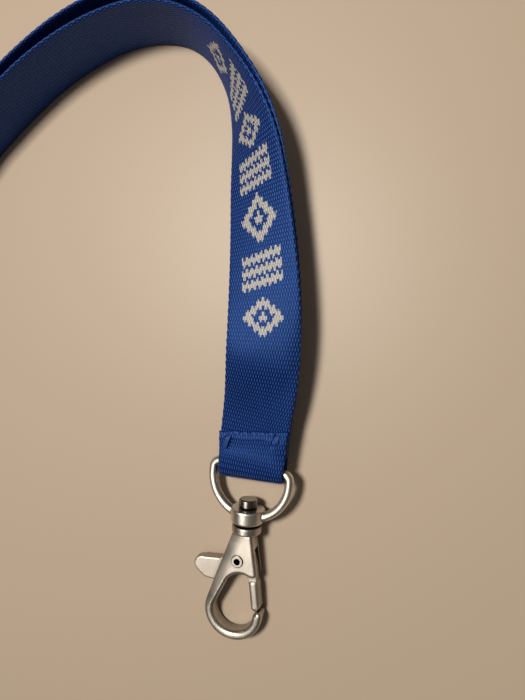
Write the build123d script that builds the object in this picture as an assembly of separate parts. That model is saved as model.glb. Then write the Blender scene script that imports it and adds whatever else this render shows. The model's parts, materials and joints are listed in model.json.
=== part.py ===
from build123d import *
import math
import os

# A neck lanyard: one length of 20 mm webbing, doubled, sewn round the bar of a die-cast bow.
# A trigger snap hook swivels in the bow's collar. Millimetres, +Z up, everything lies on z = 0.
# The design frame has its X and Y zero beside the centre of the swivel collar; the last step
# moves every node so that the row's origin is the bottom centre of the whole object.

# ---- webbing ----
WEB_WIDTH = 20.0
WEB_THICKNESS = 1.1
FOLD_WIDTH = 19.6            # the webbing is pinched slightly inside the bow
FOLD_GAP = 0.25              # play between the bow's bar and the webbing that wraps it
FOLD_DROP = 0.3              # the fold hangs this far below the bar's centre
LAYER_PITCH = 1.35           # spacing of the sewn layers
FLAP_END = 25.0              # how far up the webbing the sewn flap reaches, from the collar
CUT_END = 18.0               # where the front leg's cut end lies, between flap and back leg
SEAM_TOP = 27.0              # where the ring fold's node hands over to the back leg's node
STATION_STEP = 6.0           # spacing of the webbing's sections along its length
ON_EDGE = 90.0               # roll of webbing that stands on its edge

# Centre of the front leg, from the seam to where the two legs part:
# x, y, z, roll of the width (0 is flat, 90 stands on edge), spacing of the back leg behind it.
FRONT_LEG = [
    (1.6, CUT_END, 6.5, 4.8, LAYER_PITCH),
    (2.1, 22.5, 7.2, 4.8, LAYER_PITCH),
    (3.2, 28.5, 8.4, 3.8, LAYER_PITCH),
    (4.8, 36.0, 10.5, -1.5, 1.4),
    (6.0, 44.5, 12.4, -5.0, 1.4),
    (6.4, 54.0, 12.7, -1.0, 1.4),
    (6.0, 65.0, 11.9, 7.0, 1.4),
    (5.1, 77.0, 10.8, 16.0, 1.4),
    (3.9, 89.5, 10.0, 25.0, 1.4),
    (2.6, 101.5, 9.9, 36.5, 1.5),
    (0.4, 111.2, 9.9, 50.0, 1.7),
    (-3.8, 121.5, 10.0, 66.0, 2.0),
    (-10.4, 130.9, 10.15, 77.0, 2.3),
    (-19.0, 137.1, 10.1, 85.0, 2.8),
    (-29.0, 139.5, 10.05, 88.0, 3.8),
    (-40.0, 138.8, 10.0, 90.0, 4.6),
    (-51.5, 135.4, 10.0, 90.0, 4.4),
    (-63.0, 130.0, 10.0, 90.0, 3.8),
    (-74.5, 122.4, 10.0, 90.0, 3.6),
    (-88.0, 111.6, 10.0, 90.0, 3.6),
]

# The neck loop stands on its edge; x, y from the back leg's end round to the front leg's end.
NECK_LOOP = [
    (-105.0, 103.0),
    (-125.0, 94.0),
    (-148.0, 86.0),
    (-172.0, 76.0),
    (-195.0, 60.0),
    (-212.0, 37.0),
    (-219.0, 9.0),
    (-212.0, -19.0),
    (-193.0, -40.0),
    (-166.0, -47.0),
    (-140.0, -40.0),
    (-121.0, -20.0),
    (-112.0, 6.0),
    (-110.0, 33.0),
    (-110.0, 58.0),
    (-106.5, 80.0),
    (-98.5, 98.5),
]

# ---- bow (D ring and collar in one casting) ----
COLLAR_RADIUS = 4.85
COLLAR_FOOT = 4.55           # the collar narrows towards the hook
COLLAR_ROUND = 0.5
COLLAR_LOW = -2.2            # along the swivel axis, + towards the webbing
COLLAR_HIGH = 1.8
BOW_RADIUS = 11.4            # centre line of the half circle
BOW_CENTRE_Y = 10.4
BOW_SIDE = 0.2               # the ring sits a little to one side of the collar
BAR_Y = 13.5                 # centre of the straight bar inside the webbing
BAR_TURN = -2.5              # the bar is not quite square to the swivel axis, degrees
BOW_ROLL = -5.0              # the bow rests with its right side up, turned about the swivel axis
BOW_CORNER = 2.0             # tight enough for the arms to clear the webbing's edges as they turn
BOW_ROD = 2.6                # diameter of the ring's round section

# ---- swivel pin ----
PIN_RADIUS = 1.6
PIN_CLEARANCE = 0.05
HEAD_RADIUS = 2.6
HEAD_LOW = 1.95
HEAD_HIGH = 4.3
PIN_SEAT = -6.6              # bottom of the pin, pressed into the hook's neck

# ---- hook body ----
FLANGE_RADIUS = 4.2
FLANGE_HIGH = -2.95
FLANGE_LOW = -5.2
BODY_HALF = 2.9              # half thickness at the neck
TIP_HALF = 2.25              # half thickness at the far end of the loop
LOOP_CENTRE = (-2.7, -28.4)
LOOP_OUTER = 8.5
LIMB_WIDTH = 2.7
SPINE_LEAN = 18.3            # degrees between the spine's outer edge and the swivel axis
SLOT_HALF = 1.7              # half height of the slot between the cheeks
EDGE_ROUND = 1.1
FLANK_WIDTH = 4.4            # both faces curve down towards the spine's outer edge
FLANK_RADIUS = 11.8          # shallow enough to leave the cheeks a wall beside the slot
FLANK_SPARE = 1.0            # how far the flank's cut runs on past the edge

# ---- trigger, rivet, spring ----
PIVOT = (-1.9, -13.0)
TRIGGER_HALF = 1.58
RIVET_RADIUS = 1.25
RIVET_BORE = 0.95
RIVET_HEAD = 1.75
RIVET_PROUD = 0.35
GATE_WIDTH = 2.8
GATE_HALF = 2.1
GATE_ROUND = 1.15
SPRING_WIRE = 0.4
SPRING_RADIUS = 2.0
SPRING_TURNS = 2
SPRING_PITCH = 0.45
SPRING_UPPER_LEG = 3.2       # bears on the neck
SPRING_LOWER_LEG = 1.3       # bears on the trigger
POCKET_RADIUS = 2.6
POCKET_HALF = 0.8
ROOT_RADIUS = 3.3

# ---- resting pose on the table ----
HOOK_LEAN = -4.6             # the swivel axis seen from above, degrees about Z
HOOK_TILT = 3.85             # the webbing end of the swivel axis rises
AXIS_HEIGHT = 4.73           # of the collar's centre; the tilted collar rests on the table
AXIS_SIDE = -0.5             # X of the collar's centre
HOOK_FRAME = Pos(AXIS_SIDE, 0, AXIS_HEIGHT) * Rot(0, 0, HOOK_LEAN) * Rot(HOOK_TILT, 0, 0)
BODY_SIDE = 0.5              # the hook's outline sits a little to one side of its neck
BODY_FRAME = Pos(BODY_SIDE, 0, 0)
BOW_TURNED = Rot(0, BOW_ROLL, 0)
BOW_FRAME = Pos(BOW_SIDE, BOW_CENTRE_Y, 0) * Rot(0, 0, BAR_TURN) * Pos(0, -BOW_CENTRE_Y, 0)

# ---- stitching ----
THREAD = 0.45
STITCH = 1.7
STITCH_PITCH = 1.95
SIDE_PITCH = 2.5             # of the lengthways stitches at the row's two ends
SIDE_COLUMNS = (-7.2, 6.4)


def on_bow(point):
    """A point of the bow's own frame, in the design frame."""
    return (HOOK_FRAME * BOW_TURNED * BOW_FRAME * Pos(*point)).position


def smooth(rows, step):
    """Even stations on a smooth curve through rows of any number of columns."""
    dense = []
    for i in range(len(rows) - 1):
        before = rows[max(i - 1, 0)]
        start, end = rows[i], rows[i + 1]
        after = rows[min(i + 2, len(rows) - 1)]
        length = math.dist(start[:3], end[:3])
        scale_in = length / max(math.dist(before[:3], start[:3]), 0.5 * length)
        scale_out = length / max(math.dist(end[:3], after[:3]), 0.5 * length)
        count = max(2, math.ceil(length / 0.5))
        for k in range(count):
            u = k / count
            row = []
            for p0, p1, p2, p3 in zip(before, start, end, after):
                slope_in = 0.5 * ((p2 - p1) + (p1 - p0) * scale_in)
                slope_out = 0.5 * ((p2 - p1) + (p3 - p2) * scale_out)
                blend = (2 * u**3 - 3 * u**2 + 1) * p1 + (u**3 - 2 * u**2 + u) * slope_in
                row.append(blend + (3 * u**2 - 2 * u**3) * p2 + (u**3 - u**2) * slope_out)
            dense.append(row)
    dense.append(list(rows[-1]))
    travelled = [0.0]
    for a, b in zip(dense, dense[1:]):
        travelled.append(travelled[-1] + math.dist(a[:3], b[:3]))
    count = max(2, round(travelled[-1] / step))
    stations, i = [], 0
    for k in range(count + 1):
        target = travelled[-1] * k / count
        while i < len(dense) - 2 and travelled[i + 1] < target:
            i += 1
        u = (target - travelled[i]) / (travelled[i + 1] - travelled[i])
        stations.append([a + (b - a) * u for a, b in zip(dense[i], dense[i + 1])])
    return stations


def frames(stations):
    """Position, tangent and width direction of each station, from its roll."""
    result = []
    for i, row in enumerate(stations):
        here = Vector(*row[:3])
        back = Vector(*stations[max(i - 1, 0)][:3])
        ahead = Vector(*stations[min(i + 1, len(stations) - 1)][:3])
        tangent = (ahead - back).normalized()
        side = tangent.cross(Vector(0, 0, 1)).normalized()
        rise = side.cross(tangent).normalized()
        roll = math.radians(row[3])
        width = side * math.cos(roll) + rise * math.sin(roll)
        result.append((here, tangent, width))
    return result


def ribbon(path, width=WEB_WIDTH):
    """Webbing along a list of position, tangent and width direction."""
    sections = []
    for here, tangent, across in path:
        plane = Plane(origin=here, x_dir=across, z_dir=tangent)
        sections.append(plane * Rectangle(width, WEB_THICKNESS))
    return loft(sections, ruled=True)


def behind(path, rows):
    """Centre of the second layer behind a path, never lower than lying on the table."""
    moved = []
    for (here, tangent, across), row in zip(path, rows):
        point = here + tangent.cross(across) * row[4]
        roll = math.radians(row[3])
        lowest = WEB_WIDTH / 2 * abs(math.sin(roll)) + WEB_THICKNESS / 2 * math.cos(roll)
        moved.append(Vector(point.X, point.Y, max(point.Z, lowest)))
    return moved


# ---------------------------------------------------------------- webbing
front_rows = smooth(FRONT_LEG, STATION_STEP)
front_path = frames(front_rows)
back_points = behind(front_path, front_rows)
back_rows = [[*p, row[3]] for p, row in zip(back_points, front_rows)]

bar = on_bow((0, BAR_Y, 0))
bar_x = (on_bow((1, BAR_Y, 0)) - bar).normalized()
axis_up = (on_bow((0, BAR_Y + 1, 0)) - bar).normalized()
face_up = bar_x.cross(axis_up)
fold_radius = BOW_ROD / 2 + FOLD_GAP + WEB_THICKNESS / 2

# the flap lies on the front leg, then runs down to the bar and round it
face_path = [(p - t.cross(w) * LAYER_PITCH, t, w) for p, t, w in front_path[:3]]
flap_reach = (FLAP_END - face_path[1][0].Y) / (face_path[2][0].Y - face_path[1][0].Y)
flap_tip = face_path[1][0] + (face_path[2][0] - face_path[1][0]) * flap_reach
flap_root = bar + face_up * fold_radius + axis_up * 0.6
flap_points = [flap_tip, face_path[1][0], face_path[0][0], flap_root]
flap_along = (flap_tip - flap_root).normalized()
fold_path = [(p, flap_along * -1, bar_x * -1) for p in flap_points]
FOLD_STEPS = 12
for k in range(FOLD_STEPS + 1):
    angle = math.pi * k / FOLD_STEPS
    outward = face_up * math.cos(angle) - axis_up * math.sin(angle)
    travel = face_up * -math.sin(angle) - axis_up * math.cos(angle)
    fold_path.append((bar + outward * fold_radius - axis_up * FOLD_DROP, travel, bar_x * -1))
handover = next(i for i, p in enumerate(back_points) if p.Y > SEAM_TOP)
back_path = [(p, t, w * -1) for p, t, w in frames(back_rows)]
fold_path = fold_path + back_path[1:handover + 1]

# the neck loop takes over one station before the end of each leg, so that it runs on smoothly
neck_points = [back_points[-2], back_points[-1]]
neck_points += [Vector(x, y, WEB_WIDTH / 2) for x, y in NECK_LOOP]
neck_points += [front_path[-1][0], front_path[-2][0]]
neck_path = frames(smooth([(*p, ON_EDGE) for p in neck_points], STATION_STEP))
upright = Vector(0, 0, 1)
neck_path[0] = (back_path[-2][0], back_path[-2][1], upright)
neck_path[-1] = (front_path[-2][0], front_path[-2][1] * -1, upright)

strap_ring_fold = ribbon(fold_path, FOLD_WIDTH)
strap_back_leg = ribbon(back_path[handover:-1])
strap_front_leg = ribbon(front_path[:-1])
strap_neck_loop = ribbon(neck_path)

# ---------------------------------------------------------------- bow
bow_low = BOW_CENTRE_Y - BOW_RADIUS
bar_end = BOW_RADIUS - BOW_CORNER
with BuildLine() as bow_line:
    Line((-bar_end, BAR_Y), (bar_end, BAR_Y))
    RadiusArc((bar_end, BAR_Y), (BOW_RADIUS, BAR_Y - BOW_CORNER), BOW_CORNER)
    Line((BOW_RADIUS, BAR_Y - BOW_CORNER), (BOW_RADIUS, BOW_CENTRE_Y))
    ThreePointArc((BOW_RADIUS, BOW_CENTRE_Y), (0, bow_low), (-BOW_RADIUS, BOW_CENTRE_Y))
    Line((-BOW_RADIUS, BOW_CENTRE_Y), (-BOW_RADIUS, BAR_Y - BOW_CORNER))
    RadiusArc((-BOW_RADIUS, BAR_Y - BOW_CORNER), (-bar_end, BAR_Y), BOW_CORNER)
bow_wire = bow_line.wire()
bow_start = Plane(origin=bow_wire @ 0, z_dir=bow_wire % 0, x_dir=(0, 0, 1))
bow_ring = BOW_FRAME * sweep(bow_start * Circle(BOW_ROD / 2), path=bow_wire)


def turned(radius, low, high, rim=0.0):
    """A disc or shaft about the swivel axis, with its rims rounded."""
    plane = Plane(origin=(0, low, 0), z_dir=(0, 1, 0), x_dir=(1, 0, 0))
    solid = extrude(plane * Circle(radius), high - low)
    if rim:
        rims = [e for e in solid.edges() if e.geom_type == GeomType.CIRCLE]
        solid = fillet(rims, rim)
    return solid


collar_plane = Plane(origin=(0, (COLLAR_LOW + COLLAR_HIGH) / 2, 0), z_dir=(0, 1, 0), x_dir=(1, 0, 0))
collar = collar_plane * Cone(COLLAR_FOOT, COLLAR_RADIUS, COLLAR_HIGH - COLLAR_LOW)
collar = fillet([e for e in collar.edges() if e.geom_type == GeomType.CIRCLE], COLLAR_ROUND)
swivel_bow = collar + bow_ring
swivel_bow -= turned(PIN_RADIUS + PIN_CLEARANCE, COLLAR_LOW - 1, COLLAR_HIGH + 2)

# ---------------------------------------------------------------- swivel pin
swivel_pin = turned(HEAD_RADIUS, HEAD_LOW, HEAD_HIGH, 0.45) + turned(PIN_RADIUS, PIN_SEAT, HEAD_LOW + 0.5)

# ---------------------------------------------------------------- hook body
cx, cy = LOOP_CENTRE
loop_inner = LOOP_OUTER - LIMB_WIDTH
lean = math.radians(SPINE_LEAN)


def on_loop(radius, degrees):
    """A point at an angle round the loop's centre, seen from above."""
    angle = math.radians(degrees)
    return (cx + radius * math.cos(angle), cy + radius * math.sin(angle))


spine_low = on_loop(LOOP_OUTER, 180 - SPINE_LEAN)
spine_rise = FLANGE_LOW + 0.3 - spine_low[1]
spine_high = (spine_low[0] + spine_rise * math.tan(lean), spine_low[1] + spine_rise)
tip_outer = on_loop(LOOP_OUTER, 18)
tip_inner = on_loop(loop_inner, 0)
with BuildLine() as hook_line:
    Line(spine_high, spine_low)
    ThreePointArc(spine_low, on_loop(LOOP_OUTER, 270), tip_outer)
    Line(tip_outer, tip_inner)
    ThreePointArc(tip_inner, on_loop(loop_inner, 270), on_loop(loop_inner, 165))
    Line(on_loop(loop_inner, 165), (-5.3, -20.2))
    ThreePointArc((-5.3, -20.2), (-1.4, -16.9), (2.0, -17.6))
    Line((2.0, -17.6), (4.1, -17.0))
    Line((4.1, -17.0), (1.9, spine_high[1]))
    Line((1.9, spine_high[1]), spine_high)
blank = extrude(make_face(hook_line.edges()), BODY_HALF, both=True)
side_line = Polyline((FLANGE_LOW + 1, BODY_HALF), (-17, BODY_HALF), (-38, TIP_HALF),
                     (-38, -TIP_HALF), (-17, -BODY_HALF), (FLANGE_LOW + 1, -BODY_HALF), close=True)
side_face = Plane(origin=(-20, 0, 0), z_dir=(1, 0, 0), x_dir=(0, 1, 0)) * make_face(side_line.edges())
blank = blank & extrude(side_face, 40)
blank = fillet(blank.edges(), EDGE_ROUND)
spine_along = (Vector(*spine_high, 0) - Vector(*spine_low, 0)).normalized()
flank_plane = Plane(origin=(*spine_low, 0), z_dir=spine_along, x_dir=spine_along.cross(Vector(0, 0, 1)))


def flank_point(inward, side):
    """A point of the flank's curve, which leaves the face smoothly at the flank's width."""
    drop = FLANK_RADIUS - math.sqrt(FLANK_RADIUS**2 - (FLANK_WIDTH - inward) ** 2)
    return (inward, side * (BODY_HALF - drop))


for side in (-1, 1):
    with BuildLine() as flank_line:
        ThreePointArc(flank_point(FLANK_WIDTH, side), flank_point(FLANK_WIDTH / 2, side),
                      flank_point(-FLANK_SPARE, side))
        Polyline(flank_point(-FLANK_SPARE, side), (-FLANK_SPARE, side * 2 * BODY_HALF),
                 (FLANK_WIDTH, side * 2 * BODY_HALF), flank_point(FLANK_WIDTH, side))
    blank -= extrude(flank_plane * make_face(flank_line.edges()), 60, both=True)
slot_line = Polyline((12, -9.4), (-3.5, -9.4), (-6.0, -10.3), (-14, -10.3), (-14, -21.3),
                     (-6.4, -21.3), (-4.5, -19.2), (12, -19.2), close=True)
slot = extrude(make_face(slot_line.edges()), SLOT_HALF, both=True)
rivet_hole = Pos(*PIVOT, 0) * Cylinder(RIVET_RADIUS, 4 * BODY_HALF)
hook_body = BODY_FRAME * blank + turned(FLANGE_RADIUS, FLANGE_LOW, FLANGE_HIGH, 0.4)
hook_body = hook_body - BODY_FRAME * (slot + rivet_hole) - turned(PIN_RADIUS, PIN_SEAT, 0)

# ---------------------------------------------------------------- trigger
px, py = PIVOT
gate_top, gate_low = (2.6, -18.2), (3.95, -27.2)
gate_length = math.dist(gate_top, gate_low)
gate_turn = math.degrees(math.atan2(gate_low[0] - gate_top[0], gate_top[1] - gate_low[1]))
with BuildLine() as tab_line:
    Polyline((-3.0, py + 2.6), (-7.3, -13.7), (-12.6, -14.2))
    ThreePointArc((-12.6, -14.2), (-15.4, -16.2), (-14.6, -18.4))
    Polyline((-14.6, -18.4), (-12.1, -20.3), (-9.0, -20.6), (-5.2, -17.8), (px, py - 2.9),
             (-3.0, py + 2.6))
tab = extrude(make_face(tab_line.edges()), 1.35, both=True)
outer_tab_edges = [e for e in tab.edges() if e.center().X < -8]
tab = fillet(outer_tab_edges, 0.6)
web_line = Polyline((px, py + 2.5), (2.2, py + 2.0), (3.3, py - 2.5), (3.5, -17.4), (3.9, -19.6),
                    (1.5, -19.6), (0.9, -17.6), (px, py - 2.6), close=True)
web = extrude(make_face(web_line.edges()), TRIGGER_HALF, both=True)
gate = Pos(gate_top[0], gate_top[1] - gate_length / 2, 0) * Box(GATE_WIDTH, gate_length, 2 * GATE_HALF)
gate = fillet(gate.edges(), GATE_ROUND)
gate = Pos(*gate_top, 0) * Rot(0, 0, gate_turn) * Pos(-gate_top[0], -gate_top[1], 0) * gate
cut_angle = math.degrees(math.atan2(tip_outer[1] - tip_inner[1], tip_outer[0] - tip_inner[0]))
beyond_tip = Pos(*tip_inner, 0) * Rot(0, 0, cut_angle) * Pos(0, -10 + 0.15, 0) * Box(30, 20, 10)
root = Pos(px, py, 0) * Cylinder(ROOT_RADIUS, 2 * TRIGGER_HALF)
trigger = root + tab + web + (gate - beyond_tip)
trigger -= Pos(px, py, 0) * Cylinder(RIVET_RADIUS + PIN_CLEARANCE, 4 * BODY_HALF)
trigger -= Pos(px, py, 0) * Cylinder(POCKET_RADIUS, 2 * POCKET_HALF)
trigger -= Pos(px - SPRING_RADIUS, py + ROOT_RADIUS - 0.6, 0) * Box(1.6, 2.6, 2 * POCKET_HALF)

# ---------------------------------------------------------------- rivet and spring
head_face = BODY_HALF
rivet = Cylinder(RIVET_RADIUS, 2 * head_face)
for side in (-1, 1):
    rivet += Pos(0, 0, side * (head_face + RIVET_PROUD / 2)) * Cylinder(RIVET_HEAD, RIVET_PROUD)
outer_rims = [e for e in rivet.edges() if abs(abs(e.center().Z) - head_face - RIVET_PROUD) < 0.01]
rivet = fillet(outer_rims, RIVET_PROUD * 0.8)
rivet = Pos(*PIVOT, 0) * (rivet - Cylinder(RIVET_BORE, 4 * BODY_HALF))

coil_height = SPRING_TURNS * SPRING_PITCH
coil = Pos(px, py, -coil_height / 2) * Rot(0, 0, 180) * Helix(SPRING_PITCH, coil_height, SPRING_RADIUS)
coil_start = Plane(origin=coil @ 0, z_dir=coil % 0)
spring = sweep(coil_start * Circle(SPRING_WIRE / 2), path=coil, is_frenet=True)
upper_leg = Plane(origin=coil @ 0, z_dir=(coil % 0) * -1)
spring += extrude(upper_leg * Circle(SPRING_WIRE / 2), SPRING_UPPER_LEG)
lower_leg = Plane(origin=coil @ 1, z_dir=coil % 1)
trigger_spring = spring + extrude(lower_leg * Circle(SPRING_WIRE / 2), SPRING_LOWER_LEG)

# ---------------------------------------------------------------- stitching
def seam_point(across, down, path, outward):
    """A stitch's centre and surface normal, across and down the seam, on one layer's surface."""
    for (a, _, _), (b, _, _) in zip(path, path[1:]):
        reach_a, reach_b = ((flap_tip - p).dot(flap_along) for p in (a, b))
        if min(reach_a, reach_b) <= down <= max(reach_a, reach_b):
            centre = a + (b - a) * ((down - reach_a) / (reach_b - reach_a))
            normal = face_up * outward
            return centre + normal * (WEB_THICKNESS / 2) + bar_x * across, normal
    raise ValueError("the seam runs past its layer")


stitch_places = [(k * STITCH_PITCH, 0.9, False) for k in range(-2, 3)]
stitch_places += [(side, 1.4 + k * SIDE_PITCH, True) for side in SIDE_COLUMNS for k in range(2)]
stitches = []
for across, down, lengthways in stitch_places:
    for layer, outward in ((fold_path[:4], 1), (back_path, -1)):
        centre, normal = seam_point(across, down, layer, outward)
        run = flap_along if lengthways else bar_x
        plane = Plane(origin=centre - run * (STITCH / 2), z_dir=run, x_dir=normal)
        stitches.append(extrude(plane * Circle(THREAD / 2), STITCH))
seam_stitching = Compound(children=stitches)

# ---------------------------------------------------------------- the assembly
nodes = {
    "strap_ring_fold": strap_ring_fold,
    "strap_back_leg": strap_back_leg,
    "strap_neck_loop": strap_neck_loop,
    "strap_front_leg": strap_front_leg,
    "seam_stitching": seam_stitching,
    "swivel_bow": HOOK_FRAME * BOW_TURNED * swivel_bow,
    "swivel_pin": HOOK_FRAME * swivel_pin,
    "hook_body": HOOK_FRAME * hook_body,
    "trigger": HOOK_FRAME * BODY_FRAME * trigger,
    "pivot_rivet": HOOK_FRAME * BODY_FRAME * rivet,
    "trigger_spring": HOOK_FRAME * BODY_FRAME * trigger_spring,
}
boxes = [node.bounding_box() for node in nodes.values()]
low = Vector(*(min(getattr(b.min, c) for b in boxes) for c in "XYZ"))
high = Vector(*(max(getattr(b.max, c) for b in boxes) for c in "XYZ"))
row_shift = Vector(-(low.X + high.X) / 2, -(low.Y + high.Y) / 2, -low.Z)

os.makedirs("parts", exist_ok=True)
for name, node in nodes.items():
    export_step(Pos(row_shift) * node, f"parts/{name}.step")
webbing_paths = (fold_path, back_path[handover:-1], neck_path, front_path[:-1])
webbing_length = sum((b[0] - a[0]).length for path in webbing_paths for a, b in zip(path, path[1:]))
print(f"webbing {webbing_length:.0f} mm, overall {(high - low).X:.1f} x {(high - low).Y:.1f} "
      f"x {(high - low).Z:.2f} mm")
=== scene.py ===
import json
import math

import bpy
import numpy as np
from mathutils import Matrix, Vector


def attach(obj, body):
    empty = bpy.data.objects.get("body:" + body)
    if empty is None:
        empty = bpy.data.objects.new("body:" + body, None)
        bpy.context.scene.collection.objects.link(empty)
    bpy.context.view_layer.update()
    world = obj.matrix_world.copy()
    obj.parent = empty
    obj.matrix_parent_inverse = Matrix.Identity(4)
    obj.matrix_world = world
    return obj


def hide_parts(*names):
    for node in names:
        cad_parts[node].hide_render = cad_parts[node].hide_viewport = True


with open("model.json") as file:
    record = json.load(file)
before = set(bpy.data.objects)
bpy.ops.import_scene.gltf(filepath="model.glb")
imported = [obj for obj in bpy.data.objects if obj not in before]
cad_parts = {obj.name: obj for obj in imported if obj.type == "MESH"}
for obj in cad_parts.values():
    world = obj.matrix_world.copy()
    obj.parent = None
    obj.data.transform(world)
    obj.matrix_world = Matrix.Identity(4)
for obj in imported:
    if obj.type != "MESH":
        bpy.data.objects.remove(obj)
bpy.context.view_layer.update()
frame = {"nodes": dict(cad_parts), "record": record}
joints = {joint["name"]: joint for joint in frame["record"]["behaviour"]["joints"]}

MM = 0.001

# ------------------------------------------------------------------ places taken from the frame
COLLAR = Vector(joints["hook_swivel"]["pos_m"])          # centre of the swivel collar
BAR = Vector(joints["bow_hinge"]["pos_m"])               # centre of the bow's straight bar
BAR_X = Vector(joints["bow_hinge"]["axis"]).normalized()
FACE_UP = BAR_X.cross(Vector(joints["hook_swivel"]["axis"])).normalized()
AXIS_UP = FACE_UP.cross(BAR_X)                           # square to the bar, in the bow's plane
# the route below is measured on the table from a place beside the collar
AXIS_SIDE = -0.5                                         # millimetres from there to the collar, in X
TABLE_ZERO = Vector((COLLAR.x - AXIS_SIDE * MM, COLLAR.y, 0.0))

# ------------------------------------------------------------------ webbing, millimetres
WEB_WIDTH = 20.0
WEB_THICKNESS = 1.1
FOLD_WIDTH = 19.6
LAYER_PITCH = 1.35
FOLD_RADIUS = 2.1            # centre line of the webbing where it turns round the bar
FOLD_DROP = 0.3
FLAP_END = 24.2
FLAP_FOOT = 0.6              # the flap's straight run ends this far above the bar
CUT_END = 18.0
NECK_START = 6.0             # the neck loop takes over this far before each leg's end
FRONT_LEG = [
    (1.6, CUT_END, 6.5, 4.8, LAYER_PITCH),
    (2.1, 22.5, 7.2, 4.8, LAYER_PITCH),
    (3.2, 28.5, 8.4, 3.8, LAYER_PITCH),
    (4.8, 36.0, 10.5, -1.5, 1.4),
    (6.0, 44.5, 12.4, -5.0, 1.4),
    (6.4, 54.0, 12.7, -1.0, 1.4),
    (6.0, 65.0, 11.9, 7.0, 1.4),
    (5.1, 77.0, 10.8, 16.0, 1.4),
    (3.9, 89.5, 10.0, 25.0, 1.4),
    (2.6, 101.5, 9.9, 36.5, 1.5),
    (0.4, 111.2, 9.9, 50.0, 1.7),
    (-3.8, 121.5, 10.0, 66.0, 2.0),
    (-10.4, 130.9, 10.15, 77.0, 2.3),
    (-19.0, 137.1, 10.1, 85.0, 2.8),
    (-29.0, 139.5, 10.05, 88.0, 3.8),
    (-40.0, 138.8, 10.0, 90.0, 4.6),
    (-51.5, 135.4, 10.0, 90.0, 4.4),
    (-63.0, 130.0, 10.0, 90.0, 3.8),
    (-74.5, 122.4, 10.0, 90.0, 3.6),
    (-88.0, 111.6, 10.0, 90.0, 3.6),
]
NECK_LOOP = [
    (-105.0, 103.0),
    (-125.0, 94.0),
    (-148.0, 86.0),
    (-172.0, 76.0),
    (-195.0, 60.0),
    (-212.0, 37.0),
    (-219.0, 9.0),
    (-212.0, -19.0),
    (-193.0, -40.0),
    (-166.0, -47.0),
    (-140.0, -40.0),
    (-121.0, -20.0),
    (-112.0, 6.0),
    (-110.0, 33.0),
    (-110.0, 58.0),
    (-106.5, 80.0),
    (-98.5, 98.5),
]
ON_EDGE = 90.0

# ------------------------------------------------------------------ camera
CAMERA_FROM_COLLAR = (43.55, 45.97, 146.0)   # millimetres on the table and above it
CAMERA_TILT = 15.7                            # degrees, towards -X
CAMERA_LENS = 27.05
camera_data = bpy.data.cameras.new("camera")
camera = bpy.data.objects.new("camera", camera_data)
bpy.context.scene.collection.objects.link(camera)
camera.location = TABLE_ZERO + Vector(CAMERA_FROM_COLLAR) * MM
camera.rotation_euler = (0.0, math.radians(CAMERA_TILT), 0.0)
camera_data.lens = CAMERA_LENS
camera_data.sensor_width = 36.0
camera_data.clip_start = 0.005
bpy.context.scene.camera = camera
bpy.context.scene.view_settings.view_transform = "Standard"


# ------------------------------------------------------------------ the route
def smooth(rows, step):
    """Even stations on a smooth curve through rows of any number of columns."""
    rows = np.array(rows, float)
    dense = []
    for i in range(len(rows) - 1):
        before, start, end = rows[max(i - 1, 0)], rows[i], rows[i + 1]
        after = rows[min(i + 2, len(rows) - 1)]
        length = math.dist(start[:3], end[:3])
        scale_in = length / max(math.dist(before[:3], start[:3]), 0.5 * length)
        scale_out = length / max(math.dist(end[:3], after[:3]), 0.5 * length)
        slope_in = 0.5 * ((end - start) + (start - before) * scale_in)
        slope_out = 0.5 * ((end - start) + (after - end) * scale_out)
        count = max(2, math.ceil(length / 0.5))
        for u in np.arange(count) / count:
            dense.append((2 * u**3 - 3 * u**2 + 1) * start + (u**3 - 2 * u**2 + u) * slope_in
                         + (3 * u**2 - 2 * u**3) * end + (u**3 - u**2) * slope_out)
    return resample(np.array(dense + [rows[-1]]), step)


def resample(rows, step):
    """Rows at even distances along the line that their first three columns draw."""
    hops = np.linalg.norm(np.diff(rows[:, :3], axis=0), axis=1)
    travelled = np.concatenate([[0.0], np.cumsum(hops)])
    count = max(2, round(travelled[-1] / step))
    places = np.linspace(0.0, travelled[-1], count + 1)
    return np.stack([np.interp(places, travelled, column) for column in rows.T], axis=1)


def unit(vectors):
    return vectors / np.linalg.norm(vectors, axis=-1, keepdims=True)


def stations_of(rows):
    """Centre, direction of travel and width direction of rows of x, y, z and roll."""
    points = rows[:, :3]
    ahead = np.vstack([points[1:], points[-1:]])
    back = np.vstack([points[:1], points[:-1]])
    travel = unit(ahead - back)
    side = unit(np.cross(travel, (0.0, 0.0, 1.0)))
    rise = np.cross(side, travel)
    roll = np.radians(rows[:, 3:4])
    return points, travel, side * np.cos(roll) + rise * np.sin(roll)


def in_route(vector, is_point=False):
    """A row-frame point or direction as millimetres of the route, or as a plain direction."""
    return np.array((vector - TABLE_ZERO) / MM) if is_point else np.array(vector)


FINE = 0.5                   # spacing of the stations before the weave's own rows are laid out
FOLD_STEPS = 25
bar, bar_x = in_route(BAR, True), in_route(BAR_X)
axis_up, face_up = in_route(AXIS_UP), in_route(FACE_UP)
hold = round(NECK_START / FINE)     # stations between a leg's end and where the neck loop starts

front_rows = smooth(FRONT_LEG, FINE)
front, front_travel, front_across = stations_of(front_rows)
front_out = -np.cross(front_travel, front_across)
rolls = np.radians(front_rows[:, 3])
back = front - front_out * front_rows[:, 4:5]
lowest = WEB_WIDTH / 2 * np.abs(np.sin(rolls)) + WEB_THICKNESS / 2 * np.cos(rolls)
back[:, 2] = np.maximum(back[:, 2], lowest)
back_across = stations_of(np.column_stack([back, front_rows[:, 3]]))[2]

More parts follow.
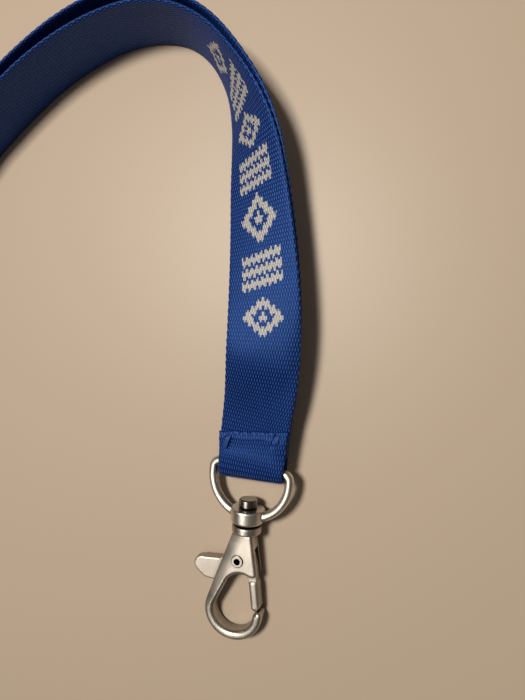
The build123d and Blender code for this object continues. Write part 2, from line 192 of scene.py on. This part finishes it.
sewn = front[:, 1] <= FLAP_END
flap = (front + front_out * LAYER_PITCH)[sewn][::-1]
fold = [bar + face_up * FOLD_RADIUS + axis_up * FLAP_FOOT]
for angle in np.linspace(0.0, math.pi, FOLD_STEPS):
    outward = face_up * math.cos(angle) - axis_up * math.sin(angle)
    fold.append(bar + outward * FOLD_RADIUS - axis_up * FOLD_DROP)
fold = np.array(fold)
neck_points = [back[-hold], back[-1]]
neck_points += [(x, y, WEB_WIDTH / 2) for x, y in NECK_LOOP]
neck_points += [front[-1], front[-hold]]
neck = smooth([(*p, ON_EDGE) for p in neck_points], FINE)[:, :3]

# the whole webbing in one run: flap, round the bar, back leg, neck loop, front leg
legs_end = hold + 1
runs = [
    (flap, np.tile(-bar_x, (len(flap), 1))),
    (fold, np.tile(-bar_x, (len(fold), 1))),
    (back[hold:-legs_end], -back_across[hold:-legs_end]),
    (neck, np.tile((0.0, 0.0, -1.0), (len(neck), 1))),
    (front[:-legs_end][::-1], -front_across[:-legs_end][::-1]),
]
ROW = 0.55                   # half of one row of floats, along the webbing
CELLS = 54                   # half columns of floats, across it
EASING = 4                   # rounds of smoothing, which ease the joins between the runs
all_centres = np.vstack([run[0] for run in runs])
all_widths = np.vstack([run[1] for run in runs])
route = resample(np.hstack([all_centres, all_widths]), ROW)
for _ in range(EASING):
    route[1:-1, :] = 0.25 * route[:-2, :] + 0.5 * route[1:-1, :] + 0.25 * route[2:, :]
route = resample(route, ROW)
centre = route[:, :3]
travel = unit(np.gradient(centre, axis=0))
across = route[:, 3:]
across = unit(across - travel * np.sum(across * travel, axis=1, keepdims=True))
outward = np.cross(across, travel)
total_rows = len(centre)
length_along = np.arange(total_rows) * ROW

fold_row = int(np.argmin(centre[:100] @ axis_up))
joins = [0, total_rows // 3, 2 * total_rows // 3, total_rows - 1]   # rows where the meshes meet

# ------------------------------------------------------------------ woven marks
MARKS = [   # centre from the front leg's cut end, length, kind
    (37.6, 10.6, "diamond"),
    (50.4, 11.0, "bars"),
    (64.4, 13.6, "diamond"),
    (77.6, 10.6, "bars"),
    (88.8, 9.6, "diamond"),
    (100.2, 10.6, "bars"),
    (111.8, 9.8, "diamond"),
]
BAND_HALF = 5.9              # half height of the marks, across the webbing
BARS = (-0.62, 0.0, 0.62)    # centres of a mark's three bars, as parts of its half length
BAR_SLANT = 0.2


def marked(down, side):
    """True where the woven marks are light: distance from the cut end and across, in mm."""
    result = np.zeros(down.shape, bool)
    for middle, length, kind in MARKS:
        v = (down - middle) / (length / 2)
        u = side / BAND_HALF
        if kind == "diamond":
            reach = np.abs(u) + np.abs(v)
            mark = (reach <= 1.0) & ((reach > 0.58) | (reach < 0.26))
        else:
            from_bar = np.min([np.abs(v - BAR_SLANT * u - place) for place in BARS], axis=0)
            mark = (from_bar < 0.19) & (np.abs(u) <= 1)
        result |= mark
    return result


# ------------------------------------------------------------------ the webbing's mesh
RELIEF = 0.07                # height of a float above and below the mean surface
CROWN = 0.9                  # height of the front leg's bulge above the seam
CROWN_HALF = 9.2             # the bulge and the arch end this far from the webbing's middle
CREST = 25.5                 # from the front leg's cut end to the crest of its bulge
CREST_UP = 9.0               # how far the bulge reaches past its crest
CREST_DOWN = 7.0             # and how far before it, at the middle
CREST_SKEW = 0.32            # it reaches further on one side, so that the crease lies aslant
FLAP_CROWN = 0.6             # the flap arches over the bar, between its sides
FLAP_CREST = 7.5             # from the flap's cut end to the crest of that arch
FLAP_REACH = 3.2
FOLD_SAG = 1.6               # how far the fold hangs down at the bow's left corner
SAG_REACH = 3.2
FLAP_SLANT = 0.2             # sideways lean of the flap's cut end
SLANT_FADE = 9.0             # the cut end's slant is gone this far down the flap
TACKS = (((-6.0, 0.4), (-7.7, 5.4)), ((7.0, 0.2), (6.7, 3.6)))   # right and down from the flap's end
PINCH = 0.42                 # depth and half width of the dents beside the tacks
NARROWED = 1.0               # the webbing is narrower by this much where it passes through the bow
FOLD_SHIFT = 0.3             # and sits a little to one side
BOW_REACH = 9.0              # how far both of those spread from the fold
END_THICKNESS = 0.35         # part of the full thickness left at the flap's heat-cut end
EDGE_BULGE = 0.3             # the selvedge's loops stand this far outside the columns
SELVEDGE = [0.30, 0.45, 0.51, 0.54]   # half thickness at the outermost columns


def crown(rows, side):
    """How far the webbing's middle stands proud of its edges, in mm."""
    across_part = np.clip(1 - (side / CROWN_HALF) ** 4, 0, None)
    past_crest = length_along[-1] - rows * ROW - CREST
    reach = np.where(past_crest > 0, CREST_UP, CREST_DOWN + CREST_SKEW * side)
    over_bar = FLAP_CROWN * np.exp(-(((rows * ROW - FLAP_CREST) / FLAP_REACH) ** 2))
    return across_part * (CROWN * np.exp(-((past_crest / reach) ** 2)) + over_bar)


def slant(rows, side):
    """The flap's cut end is not quite square or straight; a point's move along the webbing, in mm."""
    wavy = FLAP_SLANT * side + 0.13 * np.sin(0.9 * side) + 0.07 * np.sin(2.3 * side + 1.0)
    return wavy * np.clip(1 - rows * ROW / SLANT_FADE, 0, 1)


def sag(rows, side):
    """The fold hangs lower at the bow's left corner; how far a point moves away from it, in mm."""
    near_fold = np.exp(-((rows - fold_row) * ROW / SAG_REACH) ** 2)
    return near_fold * FOLD_SAG * (side + FOLD_WIDTH / 2) / FOLD_WIDTH


def distance_to_line(x, y, start, end):
    """Distance of points from a short straight line in the same plane."""
    run_x, run_y = end[0] - start[0], end[1] - start[1]
    part = ((x - start[0]) * run_x + (y - start[1]) * run_y) / (run_x**2 + run_y**2)
    part = np.clip(part, 0, 1)
    return np.hypot(x - start[0] - part * run_x, y - start[1] - part * run_y)


def pinch(rows, side):
    """How deep the bar tacks pull the flap in beside their threads, in mm."""
    down = rows * ROW
    right = -side
    depth = np.zeros(np.broadcast(down, right).shape)
    for (start, end), beside in zip(TACKS, (0.75, -0.55)):
        near = distance_to_line(right - beside, down, start, end)
        depth = np.maximum(depth, PINCH * np.exp(-((near / PINCH) ** 2)))
    return np.where(down < 8.0, depth, 0.0)


def thinned(rows, side):
    """Part of the full thickness left at the flap's heat-cut end; it fades into the leg at the right."""
    reach = 1.6 + 1.6 * np.clip((-side - 3.5) / 4.0, 0, 1)
    return END_THICKNESS + 0.65 * np.clip(rows * ROW / reach, 0, 1)


def ribbon(name, first, last):
    """A closed mesh of the webbing between two rows, with its weave in relief."""
    rows = np.arange(first, last + 1)
    columns = np.arange(CELLS + 1)
    from_fold = (rows - fold_row) * ROW
    in_bow = np.exp(-(from_fold / BOW_REACH) ** 2)
    width = WEB_WIDTH - EDGE_BULGE - NARROWED * in_bow
    half = np.full(CELLS + 1, WEB_THICKNESS / 2)
    for k, value in enumerate(SELVEDGE):
        half[k] = half[CELLS - k] = value
    sides = (columns / CELLS - 0.5)[None, :] * width[:, None]
    sides = sides - FOLD_SHIFT * in_bow[:, None]
    bricks = np.where((rows[:, None] // 2 + columns[None, :]) % 2 == 0, 1.0, -1.0)
    checker = np.where(rows[:, None] % 2 == 1, bricks, -0.35)
    lift = outward[rows][:, None, :]
    place = centre[rows][:, None, :] + across[rows][:, None, :] * sides[:, :, None]
    place = place + lift * crown(rows[:, None], sides)[:, :, None]
    place = place + travel[rows][:, None, :] * slant(rows[:, None], sides)[:, :, None]
    place = place - axis_up * sag(rows[:, None], sides)[:, :, None]
    full = 2 * half[None, :] * thinned(rows[:, None], sides) - half[None, :]
    full = full - pinch(rows[:, None], sides)
    top = place + lift * (full + RELIEF * checker)[:, :, None]
    under = place - lift * (half[None, :] - RELIEF * checker)[:, :, None]
    bulge = np.where(rows % 4 < 2, 0.22, 0.08)[:, None, None]
    outer = (place[:, :1] - place[:, 1:2], place[:, -1:] - place[:, -2:-1])
    low_rim, high_rim = (place[:, k:k + 1] + unit(step) * bulge
                         for k, step in zip((0, CELLS), outer))
    ring = np.concatenate([top, high_rim, under[:, ::-1], low_rim], axis=1)
    count = ring.shape[1]
    points = ring.reshape(-1, 3)
    a = np.arange(len(rows) - 1)[:, None] * count + np.arange(count)[None, :]
    b = np.arange(len(rows) - 1)[:, None] * count + (np.arange(count) + 1)[None, :] % count
    quads = np.stack([a, b, b + count, a + count], axis=2).reshape(-1, 4)
    caps = []
    for start, turn in ((0, 1), ((len(rows) - 1) * count, -1)):
        for j in range(CELLS):
            under_j = start + 2 * CELLS + 2 - j
            caps.append([start + j, start + j + 1, under_j - 1, under_j][::-turn])
        right = [start + CELLS, start + CELLS + 1, start + CELLS + 2]
        left = [start + 2 * CELLS + 2, start + 2 * CELLS + 3, start]
        caps += [right[::-turn], left[::-turn]]
    mesh = bpy.data.meshes.new(name)
    scaled = np.array(TABLE_ZERO) + points * MM
    mesh.from_pydata(scaled.tolist(), [], quads.tolist() + caps)
    # weave coordinates: x counts half columns, y counts rows
    column_of = np.concatenate([columns, [CELLS + 1], columns[::-1], [-1]]).astype(float)
    u = np.tile(column_of, len(rows))
    v = np.repeat(rows.astype(float), count)
    weave = mesh.uv_layers.new(name="weave")
    corner = np.empty(len(mesh.loops), int)
    mesh.loops.foreach_get("vertex_index", corner)
    weave.data.foreach_set("uv", np.stack([u[corner], v[corner]], axis=1).ravel())
    # light yarn on the face that shows outside on both legs
    face_row = np.repeat(rows[:-1], count)
    face_column = np.tile(np.arange(count), len(rows) - 1)
    down_front = length_along[-1] - (face_row + 0.5) * ROW
    side = -(face_column + 0.5 - CELLS / 2) * (WEB_WIDTH / CELLS)
    tooth = np.where(face_column // 2 % 2 == 0, 0.4, -0.4)
    on_top = face_column < CELLS
    light = on_top & marked(down_front + tooth, side)
    down_back = (face_row + 0.5) * ROW - 22.0
    light |= on_top & marked(down_back + tooth, -side)
    slots = np.zeros(len(mesh.polygons), int)
    slots[:len(light)] = light
    mesh.polygons.foreach_set("material_index", slots)
    smooth_faces = np.ones(len(mesh.polygons), bool)
    smooth_faces[len(quads):] = False
    mesh.polygons.foreach_set("use_smooth", smooth_faces)
    mesh.update()
    mesh.validate()
    obj = bpy.data.objects.new(name, mesh)
    bpy.context.scene.collection.objects.link(obj)
    return obj


# ------------------------------------------------------------------ materials
def new_material(name):
    material = bpy.data.materials.new(name)
    material.use_nodes = True
    return material, material.node_tree, material.node_tree.nodes["Principled BSDF"]


class Nodes:
    """Short ways to add nodes to one material."""

    def __init__(self, tree):
        self.tree = tree

    def add(self, kind, **settings):
        node = self.tree.nodes.new(kind)
        for key, value in settings.items():
            setattr(node, key, value)
        return node

    def link(self, source, target):
        self.tree.links.new(source, target)

    def math(self, operation, a, b=0.0, c=0.0):
        node = self.add("ShaderNodeMath", operation=operation)
        for socket, value in zip(node.inputs, (a, b, c)):
            if isinstance(value, (int, float)):
                socket.default_value = value
            else:
                self.link(value, socket)
        return node.outputs[0]

    def ramp(self, factor, stops):
        node = self.add("ShaderNodeValToRGB")
        while len(node.color_ramp.elements) < len(stops):
            node.color_ramp.elements.new(0.5)
        for element, (place, colour) in zip(node.color_ramp.elements, stops):
            element.position = place
            element.color = (*colour, 1.0)
        self.link(factor, node.inputs[0])
        return node.outputs[0]

    def noise(self, vector, scale, detail=2.0, roughness=0.5):
        node = self.add("ShaderNodeTexNoise")
        node.inputs["Scale"].default_value = scale
        node.inputs["Detail"].default_value = detail
        node.inputs["Roughness"].default_value = roughness
        self.link(vector, node.inputs["Vector"])
        return node.outputs[0]

    def scaled(self, vector, scale):
        node = self.add("ShaderNodeMapping")
        node.inputs["Scale"].default_value = scale
        self.link(vector, node.inputs["Vector"])
        return node.outputs[0]

    def bump(self, height, distance, strength):
        node = self.add("ShaderNodeBump")
        node.inputs["Strength"].default_value = strength
        node.inputs["Distance"].default_value = distance
        self.link(height, node.inputs["Height"])
        return node.outputs[0]

    def mix(self, factor, a, b):
        node = self.add("ShaderNodeMix", data_type="RGBA")
        for socket, value in ((node.inputs[0], factor), (node.inputs[6], a), (node.inputs[7], b)):
            if isinstance(value, (int, float)):
                socket.default_value = value
            elif isinstance(value, tuple):
                socket.default_value = (*value, 1.0)
            else:
                self.link(value, socket)
        return node.outputs[2]


def woven(name, deep, middle, bright, contrast, tint):
    """Polyester webbing: floats that alternate like bricks, with fine filaments along them."""
    material, tree, shader = new_material(name)
    n = Nodes(tree)
    uv = n.add("ShaderNodeUVMap", uv_map="weave")
    split = n.add("ShaderNodeSeparateXYZ")
    n.link(uv.outputs[0], split.inputs[0])
    u, v = split.outputs[0], split.outputs[1]
    wave_u = n.math("COSINE", n.math("MULTIPLY", u, math.pi))
    wave_v = n.math("SINE", n.math("MULTIPLY", v, math.pi / 2))
    brick = n.math("MULTIPLY", n.math("MULTIPLY", wave_u, wave_v), 1.7)
    brick = n.math("MAXIMUM", n.math("MINIMUM", brick, 1.0), -1.0)
    between = n.math("POWER", n.math("SUBTRACT", 1.0, n.math("ABSOLUTE", wave_v)), 2.0)
    filaments = n.noise(n.scaled(uv.outputs[0], (5.0, 0.5, 1.0)), 1.0, 3.0, 0.6)
    patches = n.noise(n.scaled(uv.outputs[0], (0.22, 0.12, 1.0)), 1.0, 3.0, 0.55)
    level = n.math("MULTIPLY_ADD", brick, contrast, 0.5)
    level = n.math("MULTIPLY_ADD", between, -0.25, level)
    level = n.math("ADD", level, n.math("MULTIPLY_ADD", filaments, 0.30, -0.15))
    level = n.math("ADD", level, n.math("MULTIPLY_ADD", patches, 0.30, -0.15))
    colour = n.ramp(level, [(0.05, deep), (0.5, middle), (0.95, bright)])
    n.link(colour, shader.inputs["Base Color"])
    rough = n.math("MULTIPLY_ADD", filaments, -0.16, 0.56)
    n.link(rough, shader.inputs["Roughness"])
    height = n.math("MULTIPLY_ADD", brick, 0.4, n.math("MULTIPLY", filaments, 0.5))
    n.link(n.bump(height, 0.00010, 0.8), shader.inputs["Normal"])
    shader.inputs["Specular IOR Level"].default_value = 1.0
    shader.inputs["Specular Tint"].default_value = (*tint, 1.0)
    return material


SHADE_REACH = 0.006               # metres over which painted shade darkens the castings' corners, the gaps between parts and the faces near the floor
GRAIN = 900.0                # of the plating's finest noise


def metal(name, dark, pale, roughness, spread, bumpiness):
    """Nickel plate over die-cast or drawn metal: soft satin grain with handling marks, and painted shade
    in corners and near the floor.
    """
    material, tree, shader = new_material(name)
    n = Nodes(tree)
    place = n.add("ShaderNodeTexCoord").outputs["Object"]
    grain = n.noise(place, GRAIN, 3.0, 0.6)
    cloud = n.noise(place, GRAIN * 0.22, 4.0, 0.55)
    scratch = n.noise(n.scaled(place, (2600.0, 260.0, 900.0)), 1.0, 2.0, 0.6)
    tone = n.math("MULTIPLY_ADD", cloud, 0.7, n.math("MULTIPLY", scratch, 0.3))
    pointed = n.add("ShaderNodeNewGeometry").outputs["Pointiness"]
    edge = n.math("MULTIPLY_ADD", pointed, 6.0, -3.0)
    tone = n.math("ADD", tone, edge)
    # painted shade: the base colour is mixed towards a dark copy of the plating wherever the floor, other
    # parts or the casting's own corners lie close
    shade = n.add("ShaderNodeAmbientOcclusion", samples=8)
    shade.inputs["Distance"].default_value = SHADE_REACH
    unshaded = n.math("POWER", shade.outputs["AO"], 1.5)
    painted_shade = tuple(0.22 * part for part in dark)
    plating = n.ramp(tone, [(0.25, dark), (0.75, pale)])
    n.link(n.mix(unshaded, painted_shade, plating), shader.inputs["Base Color"])
    shader.inputs["Metallic"].default_value = 1.0
    rough = n.math("MULTIPLY_ADD", cloud, spread, roughness - spread / 2)
    n.link(n.math("MULTIPLY_ADD", scratch, spread, rough), shader.inputs["Roughness"])
    height = n.math("MULTIPLY_ADD", grain, 0.6, n.math("MULTIPLY", cloud, 0.8))
    n.link(n.bump(height, bumpiness, 0.6), shader.inputs["Normal"])
    return material


BLUE = woven("webbing_blue", (0.0006, 0.002, 0.016), (0.004, 0.019, 0.12), (0.024, 0.095, 0.45), 0.56,
             (0.16, 0.36, 1.0))
LIGHT = woven("webbing_light", (0.22, 0.23, 0.27), (0.52, 0.50, 0.47), (0.66, 0.64, 0.60), 0.34,
              (1.0, 1.0, 1.0))

# ------------------------------------------------------------------ strap
STRAP = {   # each mesh and the CAD nodes that it stands for
    "strap_flap_and_back": ("strap_ring_fold", "strap_back_leg"),
    "strap_neck": ("strap_neck_loop",),
    "strap_front": ("strap_front_leg",),
}
for (name, nodes), first, last in zip(STRAP.items(), joins, joins[1:]):
    piece = ribbon(name, first, last)
    piece.data.materials.append(BLUE)
    piece.data.materials.append(LIGHT)
    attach(piece, "strap")
    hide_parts(*nodes)


# ------------------------------------------------------------------ stitching
def tube(points, radius, sides=8):
    """Vertices and faces of a round thread along points, closed at both ends."""
    points = np.array(points)
    along = unit(np.gradient(points, axis=0))
    helper = np.cross(along, face_up)
    first = unit(helper)
    second = np.cross(first, along)
    vertices, faces = [], []
    count = len(points)
    radii = np.full(count, radius)
    radii[0] = radii[-1] = radius * 0.35
    for i in range(count):
        for k in range(sides):
            angle = 2 * math.pi * k / sides
            offset = first[i] * math.cos(angle) + second[i] * math.sin(angle)
            vertices.append(points[i] + offset * radii[i])
    for i in range(count - 1):
        for k in range(sides):
            a, b = i * sides + k, i * sides + (k + 1) % sides
            faces.append((a, b, b + sides, a + sides))
    faces.append(tuple(range(sides))[::-1])
    faces.append(tuple((count - 1) * sides + k for k in range(sides)))
    return vertices, faces


THREAD = 0.42
STRAND = 0.34                # spacing of the strands in one stitch
SEAM_LEFT, SEAM_PITCH, SEAM_DOWN = -5.6, 2.5, 0.9
flap_down = travel[6]
flap_side = -across[0]
flap_out = outward[3]


def on_flap(side, down, lift):
    """A place above the flap's face; its cut end slants, and so does the row of stitches along it."""
    level = WEB_THICKNESS * thinned(down / ROW, -side) - WEB_THICKNESS / 2 + crown(down / ROW, -side)
    place = centre[0] + flap_side * side + flap_down * (down - FLAP_SLANT * side)
    return place + flap_out * (level + lift)


def stitch_arc(start, end, bulge, height, steps=12):
    """One strand between two places on the flap, bowing towards the flap's end and rising."""
    (side_a, down_a), (side_b, down_b) = start, end
    points = []
    for u in np.linspace(0.0, 1.0, steps):
        hump = math.sin(math.pi * u)
        side = side_a + (side_b - side_a) * u
        down = down_a + (down_b - down_a) * u - bulge * hump
        points.append(on_flap(side, down, -0.25 + (height + 0.25) * hump**0.6))
    return points


threads = []
for k in range(5):
    left = SEAM_LEFT + k * SEAM_PITCH
    for strand in range(2):
        down = SEAM_DOWN + STRAND * strand
        threads.append(stitch_arc((left, down), (left + 2.1, down), 0.75, 0.42 - 0.1 * strand))
threads.append(stitch_arc((-8.6, 1.9), (-6.8, 0.5), 0.3, 0.42))
for strand in range(4):
    step = STRAND * strand
    threads.append(stitch_arc((-6.1 - step, 0.7 + 0.3 * step), (-7.4 - step, 5.2 + 0.3 * step), 0.0, 0.5))
for strand in range(3):
    step = STRAND * strand
    threads.append(stitch_arc((7.1 + step, 0.6), (6.8 + step, 3.9 - step), 0.0, 0.42))
vertices, faces = [], []
for thread in threads:
    new_vertices, new_faces = tube(thread, THREAD / 2)
    faces += [tuple(i + len(vertices) for i in face) for face in new_faces]
    vertices += new_vertices
mesh = bpy.data.meshes.new("stitches")
mesh.from_pydata((np.array(TABLE_ZERO) + np.array(vertices) * MM).tolist(), [], faces)
mesh.polygons.foreach_set("use_smooth", np.ones(len(faces), bool))
stitches = bpy.data.objects.new("stitches", mesh)
bpy.context.scene.collection.objects.link(stitches)
thread_blue, _, shader = new_material("thread_blue")
shader.inputs["Base Color"].default_value = (0.016, 0.066, 0.29, 1.0)
shader.inputs["Roughness"].default_value = 0.5
mesh.materials.append(thread_blue)
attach(stitches, "strap")
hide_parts("seam_stitching")

# ------------------------------------------------------------------ metal parts
NICKEL_DARK, NICKEL_PALE = (0.37, 0.33, 0.285), (0.62, 0.57, 0.50)
BOW_DARK, BOW_PALE = (0.56, 0.52, 0.46), (0.82, 0.77, 0.69)
finishes = {
    "hook_body": metal("nickel_hook", NICKEL_DARK, NICKEL_PALE, 0.30, 0.14, 0.00003),
    "swivel_bow": metal("nickel_bow", BOW_DARK, BOW_PALE, 0.28, 0.12, 0.00003),
    "swivel_pin": metal("nickel_pin", (0.18, 0.16, 0.14), (0.30, 0.27, 0.24), 0.17, 0.06, 0.00001),
    "trigger": metal("nickel_trigger", (0.34, 0.30, 0.26), (0.57, 0.52, 0.455), 0.38, 0.16, 0.00004),
    "pivot_rivet": metal("nickel_rivet", (0.16, 0.14, 0.12), (0.30, 0.27, 0.235), 0.25, 0.1, 0.00001),
    "trigger_spring": metal("spring_steel", (0.2, 0.2, 0.2), (0.5, 0.5, 0.5), 0.22, 0.1, 0.00001),
}
for node, material in finishes.items():
    obj = frame["nodes"][node]
    obj.data.materials.clear()
    obj.data.materials.append(material)
for node, voxel, rounds in (("hook_body", 0.125, 14), ("trigger", 0.1, 7), ("swivel_bow", 0.13, 7)):
    # the casting's corners are softened a little
    obj = frame["nodes"][node]
    remesh = obj.modifiers.new("skin", "REMESH")
    remesh.mode = "VOXEL"
    remesh.voxel_size = voxel * MM
    remesh.use_smooth_shade = True
    soften = obj.modifiers.new("soften", "SMOOTH")
    soften.factor = 0.5
    soften.iterations = rounds

# ------------------------------------------------------------------ floor and light
FLOOR_HALF = 1.5             # metres
FLOOR_LEVEL = -0.00005       # just under the object, so that nothing lies in the floor's own plane
floor_mesh = bpy.data.meshes.new("floor")
floor_corners = [(x * FLOOR_HALF, y * FLOOR_HALF, FLOOR_LEVEL)
                 for x, y in ((-1, -1), (1, -1), (1, 1), (-1, 1))]
floor_mesh.from_pydata(floor_corners, [], [(0, 1, 2, 3)])
floor = bpy.data.objects.new("floor", floor_mesh)
bpy.context.scene.collection.objects.link(floor)
floor_material, _, shader = new_material("floor_pale")
shader.inputs["Base Color"].default_value = (0.62, 0.50, 0.385, 1.0)
shader.inputs["Roughness"].default_value = 0.45
floor_mesh.materials.append(floor_material)


def area_light(name, place, target, size, power, colour):
    """A square soft light, placed in millimetres from under the collar."""
    data = bpy.data.lights.new(name, "AREA")
    data.size = size
    data.energy = power
    data.color = colour
    light = bpy.data.objects.new(name, data)
    bpy.context.scene.collection.objects.link(light)
    light.location = TABLE_ZERO + Vector(place) * MM
    aim = TABLE_ZERO + Vector(target) * MM - light.location
    light.rotation_euler = aim.to_track_quat("-Z", "Y").to_euler()
    return light


def receivers(name, nodes):
    """A collection of CAD nodes for a light that shines on nothing else."""
    collection = bpy.data.collections.new(name)
    for node in nodes:
        collection.objects.link(frame["nodes"][node])
    return collection


PANEL_COLOUR = (1.0, 0.96, 0.9)
other_metal = receivers("other_metal", [node for node in finishes if node != "hook_body"])
hook_metal = receivers("hook_metal", ["hook_body"])
all_metal = receivers("all_metal", finishes)
sky_panel = area_light("sky_panel", (-190.0, -60.0, 600.0), (0.0, -20.0, 0.0), 0.56, 2.0, PANEL_COLOUR)
sky_panel.light_linking.receiver_collection = other_metal
hook_panel = area_light("hook_panel", (-115.0, -85.0, 600.0), (0.0, -20.0, 0.0), 0.36, 1.15, PANEL_COLOUR)
hook_panel.light_linking.receiver_collection = hook_metal
panel = area_light("panel", (-230.0, -290.0, 640.0), (0.0, 0.0, 0.0), 0.26, 0.6, (1.0, 0.95, 0.88))
panel.light_linking.receiver_collection = all_metal
area_light("key", (-150.0, 200.0, 640.0), (0.0, 40.0, 0.0), 0.14, 3.6, (1.0, 0.93, 0.84))
world = bpy.data.worlds.new("world")
bpy.context.scene.world = world
world.use_nodes = True
world.node_tree.nodes["Background"].inputs[0].default_value = (1.0, 0.91, 0.81, 1.0)
world.node_tree.nodes["Background"].inputs[1].default_value = 0.09
